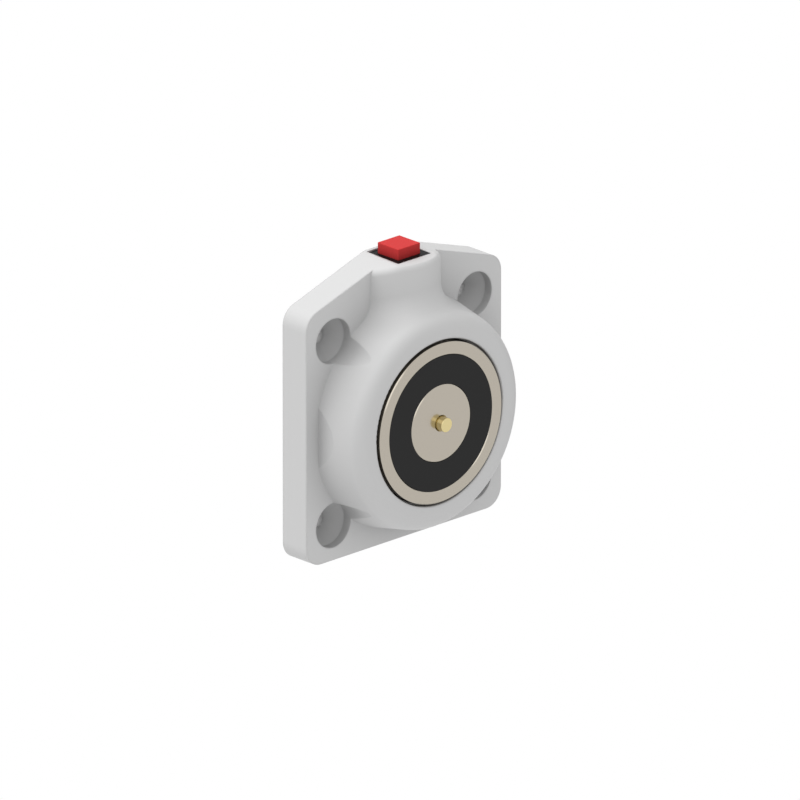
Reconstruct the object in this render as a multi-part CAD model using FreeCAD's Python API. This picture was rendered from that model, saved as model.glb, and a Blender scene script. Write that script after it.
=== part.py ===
import FreeCAD, Part
import math
import os

# Electromagnetic door lock: a round holding magnet in a moulded wall housing, with a release button.
# Frame: origin on the wall plane at the magnet's axis, the front faces -Y, +Z is up. Millimetres.
# A depth is a distance in front of the wall plane, so a point at depth d lies at y = -d.

# Housing plate
plate_half_width = 40.0
plate_bottom = 40.1
plate_top = 49.25
shoulder_height = 38.43
top_flat_half_width = 6.76
plate_depth = 10.1
corner_radius = 6.0
kink_radius = 4.0
top_draft = 0.026
plate_edge_radius = 0.2
skin = 2.5
cut_margin = 10.0
touch_margin = 0.01

# Wall screw wells
screw_pitch = 58.0
well_radius = 7.0
well_depth = 2.8
screw_hole_radius = 2.65
well_wall = 2.0

# Dome round the magnet
dome_foot_radius = 36.15
dome_lip_circle = 29.3
dome_lip_radius = 4.6
dome_front = 25.45
dome_flat = 34.9
dome_rim_round = 0.35

# Neck up to the button
neck_radius = 14.85
neck_centre_depth = 4.4
neck_edge_radius = 2.0
neck_blend_radius = 8.0

# Magnet pot and its pocket
pot_radius = 25.0
pot_face = 26.0
pot_length = 19.5
pot_wall = 4.0
pot_base = 5.0
pole_radius = 12.1
pot_bevel = 0.3
pocket_clearance = 0.3
mouth_clearance = 0.8
mouth_depth = 2.4
pocket_wall = 2.2
pocket_floor = 2.5

# Coil
bobbin_wall = 0.9
bobbin_flange = 1.0
bobbin_clearance = 0.15
resin_depth = 2.3
resin_recess = 0.12
winding_margin = 0.5

# Ejector pin
pin_radius = 2.2
pin_stand_out = 2.45
pin_fit = 0.08
pin_bore_bevel = 0.3
pin_round = 0.25
spring_bore_radius = 3.6
pin_land = 4.0
collar_radius = 3.35
collar_length = 2.0
collar_gap = 0.05
tail_radius = 1.5
tail_length = 7.0
plug_length = 2.2
plug_access_margin = 1.0
plug_clearance = 0.03
plug_slot = 1.0
ejector_wire = 0.6
ejector_turns = 4.0

# Magnet screws
magnet_screw_radius = 2.0
magnet_screw_place = 16.5
magnet_screw_bite = 3.4
magnet_screw_head_radius = 3.4
magnet_screw_head = 1.7
magnet_screw_slot = 1.0
magnet_thread_end = 0.6
washer_radius = 4.2
washer_thickness = 0.7
screw_clearance = 0.2
thread_clearance = 0.03
driver_slot = 0.5

# Coil leads
lead_radius = 0.4
lead_x = 7.3
lead_start_z = 14.5
lead_rise = 1.2
lead_run_depth = 2.4
lead_bend = 1.3
lead_hole_clearance = 0.1
sleeve_radius = 1.4
sleeve_clearance = 0.1
sleeve_fit = 0.05

# Circuit board
board_back = 9.5
board_thickness = 1.6
board_side_gap = 1.07
board_pocket_gap = 1.3
board_high = 38.4
board_chamfer = 1.0
board_screw_x = 7.1
board_screw_drop = 2.4
board_screw_radius = 1.1
board_screw_head_radius = 1.9
board_screw_head = 1.3
board_screw_slot_length = 2.4
board_screw_bite = 3.2
board_bore_end = 0.5
board_boss_radius = 2.2
solder_stub = 0.7

# Terminal block
block_half_width = 5.1
block_rise = 0.3
block_drop = 2.5
block_height = 8.0
block_bevel = 0.8
block_floor = 1.0
terminal_pitch = 5.08
wire_hole = 2.6
clamp_wall = 0.45
clamp_fit = 0.05
terminal_screw_radius = 1.2
terminal_head_radius = 1.7
terminal_head = 1.4
terminal_head_recess = 0.3
terminal_well_clearance = 0.15

# Suppressor diode
diode_radius = 1.25
diode_length = 5.0
diode_lead_radius = 0.35
diode_span = 10.2
diode_stand_off = 0.4
diode_rim_bevel = 0.3
diode_rise = 1.4

# Switch
switch_width = 13.2
switch_centre_depth = 7.9
switch_height = 10.0
switch_roof = 2.0
switch_wall = 1.0
switch_window_clearance = 0.1
switch_corner_radius = 0.3
base_thickness = 1.5
base_clearance = 0.05

# Button
cap_width = 8.95
cap_stand_out = 3.33
cap_clearance = 0.15
cap_edge_radius = 0.2
cap_wall = 1.2
cap_roof = 1.5
button_travel = 1.6
flange_width = 10.3
flange_thickness = 1.1
flange_gap = 0.05
stem_width = 3.6
stem_length = 3.0
plunger_radius = 2.6
plunger_tube_radius = 2.2
plunger_bore_radius = 1.75
plunger_end_gap = 0.3
bridge_drop = 2.6
bridge_thickness = 0.3
bridge_length = 9.4
bridge_width = 2.4
bridge_rim = 0.9
button_wire = 0.35
button_spring_clearance = 0.15
button_turns = 4.0

# Switch terminals
contact_gap = 0.05
blade_thickness = 0.4
blade_width = 1.2
blade_clearance = 0.05
blade_x = 4.5
blade_overlap = 2.0

# Ribs
rib_thickness = 2.0
rib_start = 0.6

os.makedirs("parts", exist_ok=True)


def at(x, depth, z):
    return FreeCAD.Vector(x, -depth, z)


def rod(radius, depth_from, depth_to, x=0.0, z=0.0):
    """A cylinder along the magnet's axis between two depths."""
    return Part.makeCylinder(radius, depth_to - depth_from, at(x, depth_to, z), FreeCAD.Vector(0, 1, 0))


def tube(outer, inner, depth_from, depth_to, x=0.0, z=0.0):
    return rod(outer, depth_from, depth_to, x, z).cut(rod(inner, depth_from - 1, depth_to + 1, x, z))


def taper(radius_from, radius_to, depth_from, depth_to, x=0.0, z=0.0):
    """A cone along the magnet's axis, with its radius at each of the two depths."""
    place = at(x, depth_to, z)
    return Part.makeCone(radius_to, radius_from, depth_to - depth_from, place, FreeCAD.Vector(0, 1, 0))


def block(x_from, x_to, depth_from, depth_to, z_from, z_to):
    corner = at(x_from, depth_to, z_from)
    return Part.makeBox(x_to - x_from, depth_to - depth_from, z_to - z_from, corner)


def post(radius, z_from, z_to, x=0.0, depth=0.0):
    """An upright cylinder."""
    return Part.makeCylinder(radius, z_to - z_from, at(x, depth, z_from), FreeCAD.Vector(0, 0, 1))


def square_post(width, z_from, z_to, depth):
    half = width / 2
    return block(-half, half, depth - half, depth + half, z_from, z_to)


def fuse_all(shapes):
    whole = shapes[0]
    for shape in shapes[1:]:
        whole = whole.fuse(shape)
    return whole.removeSplitter()


def save(name, *solids):
    shape = solids[0] if len(solids) == 1 else Part.makeCompound(list(solids))
    shape.exportStep("parts/" + name + ".step")
    print(name, len(shape.Solids), "solids", round(shape.Volume, 2), "mm3", shape.isValid())


def spring_along(axis, wire, mean_radius, length, turns, start):
    """A compression spring of one wire between two seats a length apart. Six flats stand for its round section."""
    helix = Part.makeHelix((length - wire) / turns, length - wire, mean_radius)
    corners = []
    for step in range(7):
        angle = step * math.pi / 3
        corners.append(FreeCAD.Vector(mean_radius + wire / 2 * math.cos(angle), 0, wire / 2 * math.sin(angle)))
    section = Part.makePolygon(corners)
    coil = Part.Wire(helix.Edges).makePipeShell([section], True, True)
    coil.translate(FreeCAD.Vector(0, 0, wire / 2))
    coil.rotate(FreeCAD.Vector(0, 0, 0), *axis)
    coil.translate(start)
    return coil


# Sizes that follow from the driving ones
screw_places = [(sx * screw_pitch / 2, sz * screw_pitch / 2) for sx in (-1, 1) for sz in (-1, 1)]
well_floor = plate_depth - well_depth
sink_end = well_floor - (well_radius - screw_hole_radius)
lip_centre_depth = dome_front - dome_lip_radius
pot_back = pot_face - pot_length
pocket_radius = pot_radius + pocket_clearance
pocket_outer = pocket_radius + pocket_wall
pocket_back = pot_back - pocket_floor
ring_inner = pot_radius - pot_wall
coil_back = pot_back + pot_base
coil_front = pot_face - resin_recess - resin_depth
board_front = board_back + board_thickness
board_half_width = math.sqrt((neck_radius - skin) ** 2 - (board_front - neck_centre_depth) ** 2) - board_side_gap
board_low = pocket_outer + board_pocket_gap
board_screw_z = board_high - board_screw_drop
lead_end_z = board_low + lead_rise
diode_z = board_low + diode_rise
block_back = board_back - block_height
block_low = board_low + block_rise
block_high = board_high - block_drop
block_middle_z = (block_low + block_high) / 2
clamp_centres = [-terminal_pitch / 2, terminal_pitch / 2]
lead_places = [(-lead_x, lead_start_z), (lead_x, lead_start_z)]
magnet_screw_places = [(-magnet_screw_place, 0.0), (magnet_screw_place, 0.0)]
terminal_well_end = block_back + terminal_head + terminal_head_recess * 2
wire_depth = (terminal_well_end + board_back - block_floor) / 2
switch_top = plate_top - top_draft * (switch_centre_depth + switch_width / 2)
switch_bottom = switch_top - switch_height
switch_ceiling = switch_top - switch_roof
cavity_width = switch_width - 2 * switch_wall
base_top = switch_bottom + base_thickness
flange_bottom = switch_ceiling - flange_gap - flange_thickness
bridge_top = flange_bottom - bridge_drop
contact_level = bridge_top + contact_gap
blade_back = board_back - blade_thickness


# Housing
def plate_outline(inset):
    """The plate's outline as a face in the wall plane, moved inwards by the inset."""
    slope = (plate_top - shoulder_height) / (plate_half_width - top_flat_half_width)
    lean = math.sqrt(1 + slope * slope)
    side = plate_half_width - inset
    top = plate_top - inset
    shoulder = shoulder_height + slope * inset - lean * inset
    kink = side - (top - shoulder) / slope
    points = [at(-side, 0, inset - plate_bottom), at(side, 0, inset - plate_bottom), at(side, 0, shoulder),
              at(kink, 0, top), at(-kink, 0, top), at(-side, 0, shoulder)]
    return Part.Face(Part.makePolygon(points + points[:1]))


def plate_solid(inset, depth_from, depth_to):
    """The outline as a slab between two depths, with its six corners rounded."""
    slab = plate_outline(inset).extrude(at(0, depth_to - depth_from, 0))
    slab.translate(at(0, depth_from, 0))
    outer_edges, kink_edges = [], []
    for edge in slab.Edges:
        if abs(edge.tangentAt(edge.FirstParameter).y) > 0.99:
            near_side = abs(edge.CenterOfMass.x) > plate_half_width / 2
            (outer_edges if near_side else kink_edges).append(edge)
    slab = slab.makeFillet(corner_radius - inset, outer_edges)
    kink_edges = [edge for edge in slab.Edges
                  if abs(edge.tangentAt(edge.FirstParameter).y) > 0.99
                  and abs(abs(edge.CenterOfMass.x) - abs(kink_edges[0].CenterOfMass.x)) < 0.01
                  and edge.CenterOfMass.z > shoulder_height]
    return slab.makeFillet(kink_radius - inset, kink_edges)


def below_drafted_top(body):
    """The body less what stands over the top, which falls a little towards the front for the mould's draft."""
    wedge = block(-plate_half_width, plate_half_width, -cut_margin, dome_front, plate_top, plate_top + cut_margin)
    wedge.rotate(at(0, 0, plate_top), FreeCAD.Vector(1, 0, 0), math.degrees(math.atan(top_draft)))
    return body.cut(wedge)


def cone_tangent():
    """Where the straight flank from the dome's foot touches the round of the lip: (radius, depth)."""
    across = dome_foot_radius - dome_lip_circle
    along = plate_depth - lip_centre_depth
    distance = math.hypot(across, along)
    turn = math.atan2(along, across) + math.acos(dome_lip_radius / distance)
    return (dome_lip_circle + dome_lip_radius * math.cos(turn),
            lip_centre_depth + dome_lip_radius * math.sin(turn))


def dome_solid():
    """The dome turned round the magnet's axis: flank, rounded lip and flat front."""
    touch_radius, touch_depth = cone_tangent()
    slope = (dome_foot_radius - touch_radius) / (touch_depth - plate_depth)
    back_radius = dome_foot_radius + slope * plate_depth
    middle = (math.atan2(touch_depth - lip_centre_depth, touch_radius - dome_lip_circle) + math.pi / 2) / 2
    on_arc = at(dome_lip_circle + dome_lip_radius * math.cos(middle),
                lip_centre_depth + dome_lip_radius * math.sin(middle), 0)
    axis_back, foot = at(0, 0, 0), at(back_radius, 0, 0)
    touch, crown = at(touch_radius, touch_depth, 0), at(dome_lip_circle, dome_front, 0)
    axis_front = at(0, dome_front, 0)
    edges = [Part.LineSegment(axis_back, foot).toShape(), Part.LineSegment(foot, touch).toShape(),
             Part.Arc(touch, on_arc, crown).toShape(), Part.LineSegment(crown, axis_front).toShape(),
             Part.LineSegment(axis_front, axis_back).toShape()]
    profile = Part.Face(Part.Wire(edges))
    return profile.revolve(FreeCAD.Vector(0, 0, 0), FreeCAD.Vector(0, 1, 0), 360)


def neck_solid():
    """The half round column from the magnet's axis up to the plate's top."""
    column = post(neck_radius, 0, plate_top + cut_margin, 0, neck_centre_depth)
    column = column.fuse(block(-neck_radius, neck_radius, 0, neck_centre_depth, 0, plate_top + cut_margin))
    column = column.cut(block(-neck_radius - 1, neck_radius + 1, -neck_radius, 0, -1, plate_top + cut_margin + 1))
    column = column.removeSplitter().common(plate_solid(0, 0, neck_centre_depth + neck_radius + 1))
    top_edges = []
    for edge in column.Edges:
        middle = edge.valueAt((edge.FirstParameter + edge.LastParameter) / 2)
        if middle.z > shoulder_height + 1 and -middle.y > touch_margin and not is_between_top_faces(edge):
            top_edges.append(edge)
    return below_drafted_top(column.makeFillet(neck_edge_radius, top_edges))


def is_between_top_faces(edge):
    return abs(edge.tangentAt((edge.FirstParameter + edge.LastParameter) / 2).y) > 0.99


def front_form():
    """Dome and neck as one form, with the wide blend between them."""
    form = dome_solid().fuse(neck_solid()).removeSplitter()
    seam = []
    for edge in form.Edges:
        middle = edge.valueAt((edge.FirstParameter + edge.LastParameter) / 2)
        reach = math.hypot(middle.x, middle.z)
        on_column = abs(math.hypot(middle.x, -middle.y - neck_centre_depth) - neck_radius) < touch_margin
        on_side = abs(abs(middle.x) - neck_radius) < touch_margin and -middle.y <= neck_centre_depth
        if (on_column or on_side) and reach < dome_foot_radius + 3 and -middle.y > touch_margin:
            if abs(edge.tangentAt((edge.FirstParameter + edge.LastParameter) / 2).z) < 0.999:
                seam.append(edge)
    return form.makeFillet(neck_blend_radius, seam)


def trim_flats(form):
    """Flats on the left, right and bottom, where the dome's foot would pass its margin to the plate's edge."""
    keep = block(-dome_flat, dome_flat, -1, dome_front + cut_margin, -dome_flat, plate_top + cut_margin)
    return form.common(keep)


def outer_form():
    """The closed outside of the housing, with plate, dome and neck."""
    plate = below_drafted_top(plate_solid(0, 0, plate_depth))
    rim = [edge for edge in plate.Edges if abs(edge.CenterOfMass.y + plate_depth) < 1e-6]
    plate = plate.makeFillet(plate_edge_radius, rim)
    return plate.fuse(trim_flats(front_form())).removeSplitter()


def inner_dome():
    """The hollow behind the dome's flank: a cone inside the flank and a flat end behind the lip."""
    touch_radius, touch_depth = cone_tangent()
    slope = (dome_foot_radius - touch_radius) / (touch_depth - plate_depth)
    back_radius = dome_foot_radius + slope * plate_depth - skin
    end_depth = dome_front - skin
    hollow = taper(back_radius, back_radius - slope * (end_depth + 1), -1, end_depth)
    margin = dome_flat - skin
    return hollow.common(block(-margin, margin, -2, dome_front, -margin, plate_top))


def inner_neck():
    radius = neck_radius - skin
    column = post(radius, 0, plate_top, 0, neck_centre_depth)
    column = column.fuse(block(-radius, radius, -1, neck_centre_depth, 0, plate_top))
    return column.common(plate_solid(skin, -1, neck_centre_depth + neck_radius))


def housing_hollow():
    """Everything that is open to the wall, less the pocket's tube, the screw columns and the ribs."""
    hollow = plate_solid(skin, -1, plate_depth - skin).fuse([inner_dome(), inner_neck()])
    kept = [rod(pocket_outer, pocket_back, dome_front)]
    for x, z in screw_places:
        kept.append(rod(well_radius + well_wall, -2, dome_front, x, z))
        kept.append(corner_rib(x, z))
    for side in (-1, 1):
        place = side * board_screw_x
        kept.append(rod(board_boss_radius, board_front, neck_centre_depth + neck_radius, place, board_screw_z))
    return hollow.cut(kept)


def corner_rib(x, z):
    """A rib on the diagonal from the pocket's tube to a screw column."""
    reach = math.hypot(x, z)
    rib = block(pocket_radius + 1, reach, rib_start, plate_depth, -rib_thickness / 2, rib_thickness / 2)
    rib.rotate(FreeCAD.Vector(0, 0, 0), FreeCAD.Vector(0, 1, 0), -math.degrees(math.atan2(z, x)))
    return rib


def screw_well(x, z):
    """The well with its countersink and through hole. Its wall also cuts the dome's flank in front of it."""
    well = rod(well_radius, well_floor, dome_front + 1, x, z)
    sink = taper(screw_hole_radius, well_radius, sink_end, well_floor, x, z)
    return well.fuse([sink, rod(screw_hole_radius, -1, well_floor, x, z)])


def make_housing():
    body = outer_form().cut(housing_hollow())
    body = body.cut([screw_well(x, z) for x, z in screw_places])
    body = body.cut(rod(pocket_radius, pot_back, dome_front + 1))
    mouth = rod(pot_radius + mouth_clearance, dome_front - mouth_depth, dome_front + 1)
    body = body.cut(mouth)
    holes = [rod(spring_bore_radius + plug_access_margin, pocket_back - 1, pot_back + 1)]
    for x, z in magnet_screw_places:
        holes.append(rod(magnet_screw_radius + screw_clearance, pocket_back - 1, pot_back + 1, x, z))
    for x, z in lead_places:
        holes.append(rod(sleeve_radius + sleeve_clearance, pocket_back - 1, pot_back + 1, x, z))
    for side in (-1, 1):
        bore_end = board_front + board_screw_bite + board_bore_end
        holes.append(rod(board_screw_radius, board_front - 1, bore_end, side * board_screw_x, board_screw_z))
    window = switch_width + 2 * switch_window_clearance
    holes.append(square_post(window, switch_bottom - 1, plate_top + 1, switch_centre_depth))
    body = body.cut(holes)
    rim = [edge for edge in body.Edges
           if abs(edge.CenterOfMass.y + dome_front) < 1e-6
           and edge.BoundBox.XLength < 2 * (pot_radius + mouth_clearance) + 0.1]
    return body.makeFillet(dome_rim_round, rim)


# Magnet and coil
def make_pot():
    """Steel pot with its pole: one turned piece, bored for the pin and drilled from behind."""
    pot = rod(pot_radius, pot_back, pot_face)
    ring_space = tube(ring_inner, pole_radius, coil_back, pot_face + 1)
    pot = pot.cut([ring_space, rod(pin_radius + pin_fit, pot_back - 1, pot_face + 1)])
    pot = pot.cut(rod(spring_bore_radius, pot_back - 1, pot_face - pin_land))
    for x, z in magnet_screw_places:
        thread_end = pot_back + magnet_screw_bite + magnet_thread_end
        pot = pot.cut(rod(magnet_screw_radius + thread_clearance, pot_back - 1, thread_end, x, z))
    for x, z in lead_places:
        pot = pot.cut(rod(sleeve_radius + sleeve_clearance, pot_back - 1, coil_back + 1, x, z))
    front = [edge for edge in pot.Edges
             if abs(edge.CenterOfMass.y + pot_face) < 1e-6 and edge.BoundBox.XLength > pole_radius]
    pot = pot.makeChamfer(pot_bevel, front)
    mouth = [edge for edge in pot.Edges
             if abs(edge.CenterOfMass.y + pot_face) < 1e-6 and edge.BoundBox.XLength < pole_radius]
    return pot.makeChamfer(pin_bore_bevel, mouth)


def make_bobbin():
    inner = pole_radius + bobbin_clearance
    outer = ring_inner - bobbin_clearance
    flanges = [tube(outer, inner, coil_back, coil_back + bobbin_flange),
               tube(outer, inner, coil_front - bobbin_flange, coil_front)]
    bobbin = tube(inner + bobbin_wall, inner, coil_back, coil_front).fuse(flanges).removeSplitter()
    for x, z in lead_places:
        bobbin = bobbin.cut(rod(lead_radius, coil_back - 1, coil_back + bobbin_flange / 2, x, z))
    return bobbin


def make_winding():
    inner = pole_radius + bobbin_clearance + bobbin_wall
    outer = ring_inner - bobbin_clearance - winding_margin
    return tube(outer, inner, coil_back + bobbin_flange, coil_front - bobbin_flange)


def make_resin():
    return tube(ring_inner, pole_radius, coil_front, pot_face - resin_recess)


# Ejector pin and its spring
def make_pin():
    end = pot_face + pin_stand_out
    shoulder = pot_face - pin_land - collar_gap
    shaft = rod(pin_radius, shoulder - collar_length, end)
    tip = [edge for edge in shaft.Edges if abs(edge.CenterOfMass.y + end) < 1e-6]
    shaft = shaft.makeFillet(pin_round, tip)
    collar = rod(collar_radius, shoulder - collar_length, shoulder)
    tail = rod(tail_radius, shoulder - collar_length - tail_length, shoulder)
    return fuse_all([shaft, collar, tail])


def make_plug():
    """Screwed plug behind the spring, with a slot for a driver."""
    plug = rod(spring_bore_radius - plug_clearance, pot_back, pot_back + plug_length)
    half = spring_bore_radius
    return plug.cut(block(-half, half, pot_back - 1, pot_back + plug_length / 3, -plug_slot / 2, plug_slot / 2))


def make_ejector_spring():
    start = pot_back + plug_length
    end = pot_face - pin_land - collar_gap - collar_length
    mean = (spring_bore_radius + tail_radius) / 2
    turn = (FreeCAD.Vector(1, 0, 0), 90)
    return spring_along(turn, ejector_wire, mean, end - start, ejector_turns, at(0, start, 0))


# Magnet screws
def make_magnet_screw(x, z):
    head_depth = pocket_back - washer_thickness
    head = rod(magnet_screw_head_radius, head_depth - magnet_screw_head, head_depth, x, z)
    back = [edge for edge in head.Edges if abs(edge.CenterOfMass.y + head_depth - magnet_screw_head) < 1e-6]
    head = head.makeChamfer(magnet_screw_head / 3, back)
    half = magnet_screw_slot / 2
    slot = block(x - half, x + half, head_depth - magnet_screw_head - 1, head_depth - magnet_screw_head / 2,
                 z - magnet_screw_head_radius, z + magnet_screw_head_radius)
    cross = slot.copy()
    cross.rotate(at(x, 0, z), FreeCAD.Vector(0, 1, 0), 90)
    inside = rod(magnet_screw_head_radius * 0.6, head_depth - magnet_screw_head - 1, head_depth, x, z)
    head = head.cut(slot.fuse(cross).common(inside))
    return head.fuse(rod(magnet_screw_radius, head_depth, pot_back + magnet_screw_bite, x, z)).removeSplitter()


def make_washer(x, z):
    return tube(washer_radius, magnet_screw_radius + screw_clearance, pocket_back - washer_thickness,
                pocket_back, x, z)


# Coil leads
def bent_wire(radius, points):
    """A stiff round wire along straight runs, with mitred bends."""
    first = (points[1] - points[0]).normalize()
    section = Part.Wire(Part.makeCircle(radius, points[0], first))
    return Part.Wire(Part.makePolygon(points).Edges).makePipeShell([section], True, False, 1)


def make_lead(x):
    """A stiff wire from the coil, back through the pot, up behind the pocket and forward into the board."""
    low, high = lead_start_z, lead_end_z
    return bent_wire(lead_radius, [at(x, coil_back + bobbin_flange / 2, low), at(x, lead_run_depth + lead_bend, low),
                                   at(x, lead_run_depth, low + lead_bend), at(x, lead_run_depth, high - lead_bend),
                                   at(x, lead_run_depth + lead_bend, high), at(x, board_front + solder_stub, high)])


def make_sleeve(x, z):
    return tube(sleeve_radius, lead_radius + sleeve_fit, pocket_back, coil_back, x, z)


# Circuit board and what it carries
def make_board():
    board = block(-board_half_width, board_half_width, board_back, board_front, board_low, board_high)
    corners = [edge for edge in board.Edges if abs(edge.tangentAt(edge.FirstParameter).y) > 0.99]
    board = board.makeChamfer(board_chamfer, corners)
    holes = []
    for side in (-1, 1):
        x = side * board_screw_x
        holes.append(rod(board_screw_radius + screw_clearance, board_back - 1, board_front + 1, x, board_screw_z))
        holes.append(rod(lead_radius + lead_hole_clearance, board_back - 1, board_front + 1, side * lead_x, lead_end_z))
    for x in clamp_centres:
        holes.append(rod(lead_radius + lead_hole_clearance, board_back - 1, board_front + 1, x, block_middle_z))
    return board.cut(holes)


def make_board_screw(side):
    x, z = side * board_screw_x, board_screw_z
    head = rod(board_screw_head_radius, board_back - board_screw_head, board_back, x, z)
    back = [edge for edge in head.Edges if abs(edge.CenterOfMass.y + board_back - board_screw_head) < 1e-6]
    head = head.makeChamfer(board_screw_head / 3, back)
    half_length = board_screw_slot_length / 2
    half = driver_slot / 2
    slot = block(x - half_length, x + half_length, board_back - board_screw_head - 1,
                 board_back - board_screw_head / 2, z - half, z + half)
    shank = rod(board_screw_radius - thread_clearance, board_back, board_front + board_screw_bite, x, z)
    return head.cut(slot).fuse(shank).removeSplitter()


def make_terminal_block():
    body = block(-block_half_width, block_half_width, block_back, board_back, block_low, block_high)
    upper = [edge for edge in body.Edges
             if abs(edge.CenterOfMass.y + block_back) < 1e-6 and abs(edge.tangentAt(0).x) > 0.99]
    body = body.makeChamfer(block_bevel, upper)
    for x in clamp_centres:
        head_well = rod(terminal_head_radius + terminal_well_clearance, block_back - 1, terminal_well_end,
                        x, block_middle_z)
        shank_bore = rod(terminal_screw_radius + screw_clearance, block_back, wire_depth, x, block_middle_z)
        entry = block(x - wire_hole / 2, x + wire_hole / 2, wire_depth - wire_hole / 2,
                      wire_depth + wire_hole / 2, block_low - 1, block_middle_z)
        pin_bore = rod(lead_radius + lead_hole_clearance, wire_depth, board_back + 1, x, block_middle_z)
        body = body.cut([head_well, clamp_space(x, clamp_fit), shank_bore, entry, pin_bore])
    return body


def clamp_space(x, margin):
    half = wire_hole / 2 + clamp_wall + margin
    return block(x - half, x + half, wire_depth - half, wire_depth + half, block_middle_z - half, block_middle_z + half)


def make_clamp(x):
    """A square clamping cage, open up and down, with a tapped hole behind and a pin to the board."""
    cage = clamp_space(x, 0)
    half = wire_hole / 2
    cage = cage.cut(block(x - half, x + half, wire_depth - half, wire_depth + half,
                          block_middle_z - wire_hole, block_middle_z + wire_hole))
    cage = cage.cut(rod(terminal_screw_radius + thread_clearance, block_back, wire_depth, x, block_middle_z))
    pin = rod(lead_radius, wire_depth + half + clamp_wall / 2, board_front + solder_stub, x, block_middle_z)
    return cage.fuse(pin).removeSplitter()


def make_terminal_screw(x):
    top = block_back + terminal_head_recess
    head = rod(terminal_head_radius, top, top + terminal_head, x, block_middle_z)
    slot = block(x - driver_slot / 2, x + driver_slot / 2, top - 1, top + terminal_head / 2, block_low, block_high)
    shank = rod(terminal_screw_radius, top, wire_depth - wire_hole / 4, x, block_middle_z)
    return head.fuse(shank).removeSplitter().cut(slot)


def make_diode():
    """A barrel with two legs bent down to the board's front face."""
    depth = board_front + diode_radius + diode_stand_off
    half = diode_length / 2
    barrel = Part.makeCylinder(diode_radius, diode_length, at(-half, depth, diode_z), FreeCAD.Vector(1, 0, 0))
    rims = [edge for edge in barrel.Edges if abs(abs(edge.CenterOfMass.x) - half) < 1e-6]
    barrel = barrel.makeChamfer(diode_rim_bevel, rims)
    reach = diode_span / 2
    legs = bent_wire(diode_lead_radius, [at(-reach, board_front, diode_z), at(-reach, depth, diode_z),
                                         at(reach, depth, diode_z), at(reach, board_front, diode_z)])
    return fuse_all([barrel, legs])


# Switch
def make_switch_body():
    """Square black body: a roof with a square opening for the cap, walls, open below."""
    body = square_post(switch_width, switch_bottom, switch_top, switch_centre_depth)
    upright = [edge for edge in body.Edges if abs(edge.tangentAt(0).z) > 0.99]
    body = body.makeFillet(switch_corner_radius, upright)
    opening = square_post(cap_width + 2 * cap_clearance, switch_bottom - 1, switch_top + 1, switch_centre_depth)
    space = square_post(cavity_width, switch_bottom - 1, switch_ceiling, switch_centre_depth)
    return body.cut([opening, space])


def make_base():
    base = square_post(cavity_width - 2 * base_clearance, switch_bottom, base_top, switch_centre_depth)
    for side in (-1, 1):
        half = blade_width / 2 + blade_clearance
        x = side * blade_x
        base = base.cut(block(x - half, x + half, blade_back - blade_clearance, board_back + blade_clearance,
                              switch_bottom - 1, base_top + 1))
    return base


def make_switch_terminal(side):
    """A blade that stands on the board's rear face and turns over the bridge as the fixed contact."""
    half = blade_width / 2
    x = side * blade_x
    low = board_high - blade_overlap
    top = contact_level + blade_thickness
    blade = block(x - half, x + half, blade_back, board_back, low, top)
    finger = block(x - half, x + half, switch_centre_depth - bridge_width / 2, board_back, contact_level, top)
    return blade.fuse(finger).removeSplitter()


def make_cap():
    bottom = switch_ceiling - flange_gap
    top = switch_top + cap_stand_out
    cap = square_post(cap_width, bottom, top, switch_centre_depth)
    outer = [edge for edge in cap.Edges
             if abs(edge.CenterOfMass.z - top) < 1e-6 or abs(edge.tangentAt(0).z) > 0.99]
    cap = cap.makeFillet(cap_edge_radius, outer)
    hollow = square_post(cap_width - 2 * cap_wall, bottom - 1, top - cap_roof, switch_centre_depth)
    socket = square_post(stem_width + 2 * cap_wall, bottom, top, switch_centre_depth)
    cap = cap.cut(hollow.cut(socket))
    return cap.cut(square_post(stem_width, bottom - 1, bottom + stem_length, switch_centre_depth))


def make_plunger():
    """Stem in the cap, a square flange under the switch's roof and a tube for the spring."""
    bottom = base_top + button_travel + plunger_end_gap
    depth = switch_centre_depth
    flange = square_post(flange_width, flange_bottom, flange_bottom + flange_thickness, depth)
    stem = square_post(stem_width, flange_bottom, flange_bottom + flange_thickness + stem_length, depth)
    shoulder = post(plunger_radius, bridge_top, flange_bottom, 0, depth)
    lower = post(plunger_tube_radius, bottom, bridge_top, 0, depth)
    plunger = fuse_all([flange, stem, shoulder, lower])
    return plunger.cut(post(plunger_bore_radius, bottom - 1, flange_bottom, 0, depth))


def make_bridge():
    low = bridge_top - bridge_thickness
    half = bridge_length / 2
    depth = switch_centre_depth
    strip = block(-half, half, depth - bridge_width / 2, depth + bridge_width / 2, low, bridge_top)
    ring = post(plunger_tube_radius + bridge_rim, low, bridge_top, 0, depth)
    return fuse_all([strip, ring]).cut(post(plunger_tube_radius, low - 1, bridge_top + 1, 0, depth))


def make_button_spring():
    mean = plunger_bore_radius - button_spring_clearance - button_wire / 2
    length = flange_bottom - base_top
    turn = (FreeCAD.Vector(1, 0, 0), 0)
    return spring_along(turn, button_wire, mean, length, button_turns, at(0, switch_centre_depth, base_top))


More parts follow.
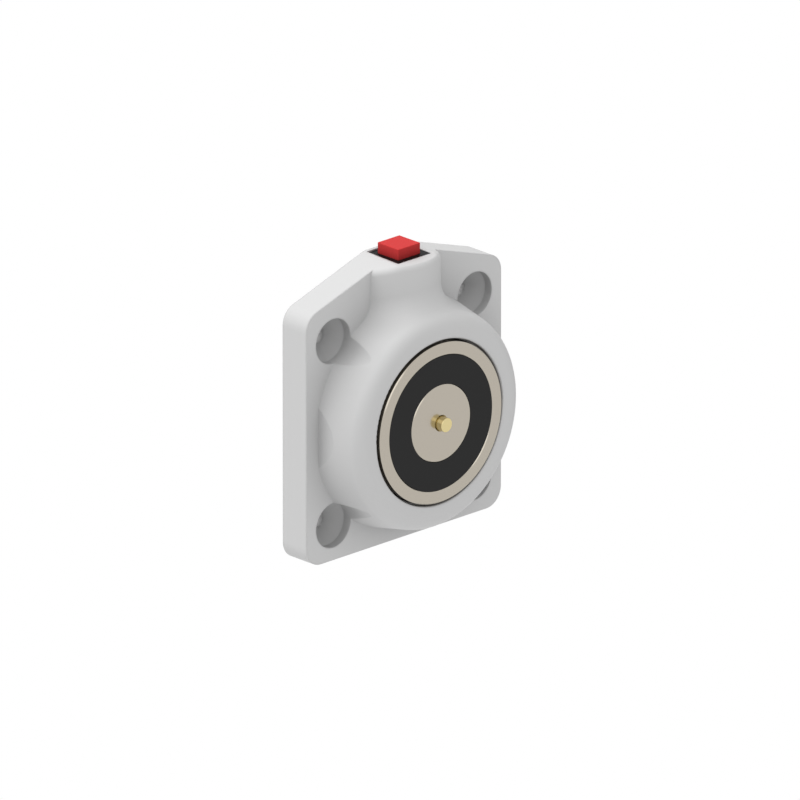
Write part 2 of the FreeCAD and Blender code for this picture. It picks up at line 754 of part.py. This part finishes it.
save("housing", make_housing())
save("magnet_pot", make_pot())
save("coil_bobbin", make_bobbin())
save("coil_winding", make_winding())
save("potting_ring", make_resin())
save("ejector_pin", make_pin())
save("ejector_spring", make_ejector_spring())
save("spring_plug", make_plug())
save("magnet_screws", *[make_magnet_screw(x, z) for x, z in magnet_screw_places])
save("magnet_washers", *[make_washer(x, z) for x, z in magnet_screw_places])
save("coil_leads", *[make_lead(x) for x, z in lead_places])
save("lead_sleeves", *[make_sleeve(x, z) for x, z in lead_places])
save("circuit_board", make_board())
save("board_screws", *[make_board_screw(side) for side in (-1, 1)])
save("terminal_block", make_terminal_block())
save("terminal_clamps", *[make_clamp(x) for x in clamp_centres])
save("terminal_screws", *[make_terminal_screw(x) for x in clamp_centres])
save("suppressor_diode", make_diode())
save("switch_body", make_switch_body())
save("switch_base", make_base())
save("switch_terminals", *[make_switch_terminal(side) for side in (-1, 1)])
save("button_cap", make_cap())
save("button_plunger", make_plunger())
save("contact_bridge", make_bridge())
save("button_spring", make_button_spring())
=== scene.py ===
import bpy
import math
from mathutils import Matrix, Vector


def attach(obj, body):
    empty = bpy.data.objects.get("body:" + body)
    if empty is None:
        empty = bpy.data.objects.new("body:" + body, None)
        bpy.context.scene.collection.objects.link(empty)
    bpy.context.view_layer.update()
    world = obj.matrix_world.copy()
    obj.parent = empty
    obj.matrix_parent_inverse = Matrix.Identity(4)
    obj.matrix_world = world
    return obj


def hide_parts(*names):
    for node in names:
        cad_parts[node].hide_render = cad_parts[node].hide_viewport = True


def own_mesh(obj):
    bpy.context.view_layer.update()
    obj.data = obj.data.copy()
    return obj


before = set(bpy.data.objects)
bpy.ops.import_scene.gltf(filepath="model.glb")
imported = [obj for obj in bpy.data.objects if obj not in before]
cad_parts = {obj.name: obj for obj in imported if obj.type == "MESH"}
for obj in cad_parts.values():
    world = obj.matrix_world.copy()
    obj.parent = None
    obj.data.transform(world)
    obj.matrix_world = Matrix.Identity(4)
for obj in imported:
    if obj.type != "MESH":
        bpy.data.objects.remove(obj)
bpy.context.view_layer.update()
mm = 0.001
print("frame loaded:", len(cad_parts), "nodes")


def hexColour(text):
    # sRGB hex to the linear values that the shaders take
    parts = [int(text[i:i + 2], 16) / 255 for i in (1, 3, 5)]
    linear = [c / 12.92 if c <= 0.04045 else ((c + 0.055) / 1.055) ** 2.4 for c in parts]
    return (*linear, 1.0)


def addNode(tree, kind, settings=None, links=None):
    # settings: property or input name to value; links: input name to an output socket
    node = tree.nodes.new(kind)
    for name, value in (settings or {}).items():
        if isinstance(name, int) or name in node.inputs:
            node.inputs[name].default_value = value
        else:
            setattr(node, name, value)
    for name, socket in (links or {}).items():
        tree.links.new(socket, node.inputs[name])
    return node


surfaceSettings = {     # shared by every finish
    "noiseDetail": 3.0, "noiseRoughness": 0.6,
    "edgeSamples": 8, "paintedShadeSamples": 16,
}
shaderSockets = {
    "roughness": "Roughness", "metallic": "Metallic",
    "ior": "IOR", "specular": "Specular IOR Level",
}


def newMaterial(name, s):
    # what a finish leaves out keeps the shader's own default
    material = bpy.data.materials.new(name)
    material.use_nodes = True
    shader = material.node_tree.nodes["Principled BSDF"]
    shader.inputs["Base Color"].default_value = hexColour(s["colour"])
    for key, socket in shaderSockets.items():
        if key in s:
            shader.inputs[socket].default_value = s[key]
    return material


def addGrain(material, s):
    # fine surface grain as bump, over edges that look rounded by edgeMm where the finish has one
    tree = material.node_tree
    place = addNode(tree, "ShaderNodeTexCoord")
    noise = addNode(tree, "ShaderNodeTexNoise", {
        "Scale": 1 / (s["grainMm"] * mm),
        "Detail": surfaceSettings["noiseDetail"],
        "Roughness": surfaceSettings["noiseRoughness"],
    }, {"Vector": place.outputs["Object"]})
    bump = addNode(tree, "ShaderNodeBump", {"Strength": 1.0, "Distance": s["grainDepthMm"] * mm},
                   {"Height": noise.outputs["Fac"]})
    if "edgeMm" in s:
        edge = addNode(tree, "ShaderNodeBevel",
                       {"samples": surfaceSettings["edgeSamples"], "Radius": s["edgeMm"] * mm})
        tree.links.new(edge.outputs["Normal"], bump.inputs["Normal"])
    tree.links.new(bump.outputs["Normal"], tree.nodes["Principled BSDF"].inputs["Normal"])


def addPaintedShade(material, s):
    # painted shade: the colour darkens in corners and recesses, down to a share of itself, by how little open
    # space an ambient occlusion node finds around the surface
    tree = material.node_tree
    base = tree.nodes["Principled BSDF"].inputs["Base Color"]
    colour = tuple(base.default_value)
    deep = (*(s["paintedShadeShare"] * c for c in colour[:3]), 1.0)
    clear = addNode(tree, "ShaderNodeAmbientOcclusion",
                    {"samples": surfaceSettings["paintedShadeSamples"], "Distance": s["paintedShadeReachMm"] * mm})
    eased = addNode(tree, "ShaderNodeMath", {"operation": "POWER", 1: s["power"]}, {0: clear.outputs["AO"]})
    mix = addNode(tree, "ShaderNodeMix", {"data_type": "RGBA", 6: deep, 7: colour}, {0: eased.outputs[0]})
    tree.links.new(mix.outputs[2], base)


def setMaterial(piece, material):
    piece.data.materials.clear()
    piece.data.materials.append(material)


# Stage
stageSettings = {
    "azimuth": -43.81, "elevation": 20.39,      # degrees, the photograph's view
    "lens": 1700.0, "sensor": 36.0,             # a very long lens, because the photograph has no perspective
    "frameWidth": 237.04,                       # mm across the picture at the object
    "targetRight": 5.799, "targetUp": 0.332,    # mm from the origin to the picture's centre
    "clipRatio": 10,                            # the near and far limits, from the distance
}


def makeCamera(s):
    azimuth, elevation = math.radians(s["azimuth"]), math.radians(s["elevation"])
    back = Vector((math.sin(azimuth) * math.cos(elevation), -math.cos(azimuth) * math.cos(elevation),
                   math.sin(elevation)))
    right = Vector((math.cos(azimuth), math.sin(azimuth), 0))
    up = back.cross(right)
    target = (right * s["targetRight"] + up * s["targetUp"]) * mm
    data = bpy.data.cameras.new("camera")
    data.lens, data.sensor_width = s["lens"], s["sensor"]
    distance = s["lens"] / s["sensor"] * s["frameWidth"] * mm
    data.clip_start, data.clip_end = distance / s["clipRatio"], distance * s["clipRatio"]
    camera = bpy.data.objects.new("camera", data)
    bpy.context.scene.collection.objects.link(camera)
    camera.rotation_mode = "QUATERNION"
    camera.location = target + back * distance
    camera.rotation_quaternion = (-back).to_track_quat("-Z", "Y")
    bpy.context.scene.camera = camera


worldSettings = {
    "seen": 1.0,            # what the camera and the mirror-like finishes see: a plain white studio
    "even": 0.12,           # light from every side on the matt surfaces
    "lights": (             # where the rest of their light comes from, how narrow it is, and its strength
        ((0, 0, 1), 6, 1.45),       # panel overhead
        ((-1, 0, 1), 6, 0.80),      # panel high on the left
        ((-1, 1.6, 2), 6, 1.85),    # panel behind and above
        ((0, 1, 0), 1, 0.39),       # pale backdrop
        ((-1, 0, 0), 1, 0.12),      # wall on the left
        ((1, -1, 0), 6, 0.40),      # reflector in front on the right
        ((0, -1, 0), 1, 0.40),      # room in front
        ((0, 0, -1), 1, 0.79),      # pale floor
    ),
}


def makeWorld(s):
    world = bpy.data.worlds.new("white studio")
    bpy.context.scene.world = world
    world.use_nodes = True
    tree = world.node_tree
    tree.nodes.clear()

    def combine(first, second, operation):
        node = addNode(tree, "ShaderNodeMath", {"operation": operation})
        for socket, value in zip(node.inputs, (first, second)):
            if isinstance(value, (int, float)):
                socket.default_value = value
            else:
                tree.links.new(value, socket)
        return node.outputs[0]

    place = addNode(tree, "ShaderNodeTexCoord")
    total = s["even"]
    for direction, narrowness, strength in s["lights"]:
        towards = addNode(tree, "ShaderNodeVectorMath", {"operation": "DOT_PRODUCT"})
        tree.links.new(place.outputs["Generated"], towards.inputs[0])
        towards.inputs[1].default_value = Vector(direction).normalized()
        share = combine(combine(towards.outputs["Value"], 0.0, "MAXIMUM"), narrowness, "POWER")
        total = combine(combine(share, strength, "MULTIPLY"), total, "ADD")
    path = addNode(tree, "ShaderNodeLightPath")
    seen = path.outputs["Is Camera Ray"]
    for kind in ("Is Glossy Ray", "Is Transmission Ray"):
        seen = combine(seen, path.outputs[kind], "MAXIMUM")
    lit = addNode(tree, "ShaderNodeBackground", {"Color": (1, 1, 1, 1)}, {"Strength": total})
    shown = addNode(tree, "ShaderNodeBackground", {"Color": (1, 1, 1, 1), "Strength": s["seen"]})
    mix = addNode(tree, "ShaderNodeMixShader", None, {"Fac": seen})
    tree.links.new(lit.outputs[0], mix.inputs[1])
    tree.links.new(shown.outputs[0], mix.inputs[2])
    addNode(tree, "ShaderNodeOutputWorld", None, {"Surface": mix.outputs[0]})


keySettings = {
    "from": (-0.5, -0.7, 0.55),         # high in front on the left
    "strength": 0.3, "angle": 42.0,     # weak and wide: it draws the bright lines along the metal's edges
}


def makeKeyLight(s):
    data = bpy.data.lights.new("key light", "SUN")
    data.energy, data.angle = s["strength"], math.radians(s["angle"])
    lamp = bpy.data.objects.new("key light", data)
    bpy.context.scene.collection.objects.link(lamp)
    lamp.rotation_mode = "QUATERNION"
    lamp.rotation_quaternion = Vector(s["from"]).to_track_quat("Z", "Y")


makeCamera(stageSettings)
makeWorld(worldSettings)
makeKeyLight(keySettings)
bpy.context.scene.view_settings.view_transform = "Standard"
print("stage ready")


# Finishes
housingFinish = {
    "colour": "#CECECE", "roughness": 0.6, "ior": 1.53, "specular": 0.25,
    "grainMm": 0.35, "grainDepthMm": 0.003, "edgeMm": 0.9,
    "paintedShadeReachMm": 15.0, "power": 0.65, "paintedShadeShare": 0.35,    # painted shade: how far off a wall the colour is darkened, and how much
}


def mouldedHousing(s):
    # ABS, injection moulded with a fine spark eroded grain: soft, nearly matt, no clear reflections
    material = newMaterial("moulded grey ABS", s)
    addGrain(material, s)
    # painted shade: the grey darkens in corners, wells and gaps
    addPaintedShade(material, s)
    return material


capFinish = {
    "colour": "#CC3D3D", "roughness": 0.5, "ior": 1.53, "specular": 0.03,
    "grainMm": 0.3, "grainDepthMm": 0.002,
    # painted shade in the cap's corners: how far off a wall the colour is darkened, and how much
    "paintedShadeReachMm": 6.0, "power": 0.6, "paintedShadeShare": 0.1,
}


def mouldedCap(s):
    # ABS, moulded in a plain steel mould: even red with almost no shine
    material = newMaterial("moulded red ABS", s)
    addGrain(material, s)
    # painted shade: the red darkens towards the bezel and in corners
    addPaintedShade(material, s)
    return material


grainFinishes = {
    # ABS from a polished mould: near black, with a faint soft reflection of the cap beside it
    "polished black ABS": {"colour": "#161616", "roughness": 0.35, "ior": 1.53, "specular": 0.035,
                           "grainMm": 0.6, "grainDepthMm": 0.0005},
    # steel, ground then nickel plated: warm grey metal with a soft mirror
    "satin nickel plated steel": {"colour": "#B5AEA2", "roughness": 0.2, "metallic": 1.0,
                                  "grainMm": 0.25, "grainDepthMm": 0.001},
    # epoxy, cast and wiped level: even dark grey with a satin surface
    "cast black epoxy": {"colour": "#1C1C1C", "roughness": 0.5, "ior": 1.55, "specular": 0.15,
                         "grainMm": 0.4, "grainDepthMm": 0.003},
    # brass, turned on a lathe: pale yellow metal with a soft mirror
    "turned brass": {"colour": "#D8C894", "roughness": 0.22, "metallic": 1.0,
                     "grainMm": 0.15, "grainDepthMm": 0.001},
    # epoxy, transfer moulded round the diode: smooth black with a clear shine
    "moulded black epoxy": {"colour": "#161616", "roughness": 0.3, "ior": 1.55,
                            "grainMm": 0.6, "grainDepthMm": 0.001},
    # nylon, injection moulded: dull near black, milky white, or a bright even green
    "matt black nylon": {"colour": "#1A1A1B", "roughness": 0.5, "ior": 1.53,
                         "grainMm": 0.3, "grainDepthMm": 0.004},
    "moulded white nylon": {"colour": "#E6E2D6", "roughness": 0.45, "ior": 1.53,
                            "grainMm": 0.3, "grainDepthMm": 0.004},
    "moulded green nylon": {"colour": "#2E7D46", "roughness": 0.35, "ior": 1.53,
                            "grainMm": 0.3, "grainDepthMm": 0.004},
    # glass epoxy sheet under green lacquer: deep green with a light gloss
    "green board laminate": {"colour": "#1E5A36", "roughness": 0.35, "ior": 1.5,
                             "grainMm": 0.2, "grainDepthMm": 0.002},
    # steel, zinc plated and clear passivated: cool pale metal, slightly cloudy
    "zinc plated steel": {"colour": "#C4C8CC", "roughness": 0.3, "metallic": 1.0,
                          "grainMm": 0.2, "grainDepthMm": 0.003},
    # steel wire, cold drawn: plain grey metal
    "drawn spring steel": {"colour": "#A8A8A8", "roughness": 0.3, "metallic": 1.0,
                           "grainMm": 0.1, "grainDepthMm": 0.002},
    # copper wire under clear enamel, wound in layers: warm brown metal
    "enamelled copper wire": {"colour": "#A85A2A", "roughness": 0.25, "metallic": 1.0,
                              "grainMm": 0.2, "grainDepthMm": 0.004},
    # copper, hot tinned: pale metal with a soft shine
    "tinned copper": {"colour": "#CFCCC4", "roughness": 0.35, "metallic": 1.0,
                      "grainMm": 0.1, "grainDepthMm": 0.002},
    # silicone, extruded as a tube: dull dark grey
    "silicone sleeve": {"colour": "#303030", "roughness": 0.6, "ior": 1.41,
                        "grainMm": 0.2, "grainDepthMm": 0.004},
}


def makeGrainFinish(name, s):
    material = newMaterial(name, s)
    addGrain(material, s)
    return material


nodeFinish = {
    "switch_body": "polished black ABS", "magnet_pot": "satin nickel plated steel",
    "potting_ring": "cast black epoxy", "suppressor_diode": "moulded black epoxy",
    "ejector_pin": "turned brass", "spring_plug": "turned brass", "contact_bridge": "turned brass",
    "switch_base": "matt black nylon",
    "button_plunger": "moulded white nylon", "coil_bobbin": "moulded white nylon",
    "terminal_block": "moulded green nylon", "circuit_board": "green board laminate",
    "magnet_screws": "zinc plated steel", "magnet_washers": "zinc plated steel",
    "board_screws": "zinc plated steel", "terminal_screws": "zinc plated steel",
    "ejector_spring": "drawn spring steel", "button_spring": "drawn spring steel",
    "coil_winding": "enamelled copper wire", "lead_sleeves": "silicone sleeve",
    "coil_leads": "tinned copper", "terminal_clamps": "tinned copper", "switch_terminals": "tinned copper",
}

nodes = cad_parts
setMaterial(nodes["housing"], mouldedHousing(housingFinish))
setMaterial(nodes["button_cap"], mouldedCap(capFinish))
finishes = {name: makeGrainFinish(name, values) for name, values in grainFinishes.items()}
for name, finish in nodeFinish.items():
    setMaterial(nodes[name], finishes[finish])
print("finishes set")


# Springs
springSettings = {      # mm: a spring's fixed end along its axis, and the travel of its joint
    "ejector_spring": {"name": "ejector_coil_spring", "joint": "ejector_pin_slide", "axis": (0, 1, 0),
                       "fixedEnd": -8.7, "travel": 2.45},
    "button_spring": {"name": "button_coil_spring", "joint": "button_press", "axis": (0, 0, 1),
                      "fixedEnd": 40.37, "travel": 1.6},
}
springMerge = {"gapMm": 0.0005, "smoothAngle": 40.0}    # what is merged, and the sharpest edge that is smoothed


def makeClosingSpring(nodeName, s):
    # a merged, smoothed copy of the CAD spring that rides with the lock body, while the CAD node is hidden
    node = nodes[nodeName]
    spring = bpy.data.objects.new(s["name"], node.data.copy())
    bpy.context.scene.collection.objects.link(spring)
    bpy.ops.object.select_all(action="DESELECT")
    spring.select_set(True)
    bpy.context.view_layer.objects.active = spring
    bpy.ops.object.mode_set(mode="EDIT")
    bpy.ops.mesh.select_all(action="SELECT")
    bpy.ops.mesh.remove_doubles(threshold=springMerge["gapMm"] * mm)
    bpy.ops.object.mode_set(mode="OBJECT")
    bpy.ops.object.shade_smooth_by_angle(angle=math.radians(springMerge["smoothAngle"]))
    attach(spring, "lock_body")
    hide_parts(nodeName)
    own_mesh(spring)


for name, settings in springSettings.items():
    makeClosingSpring(name, settings)
print("springs made")
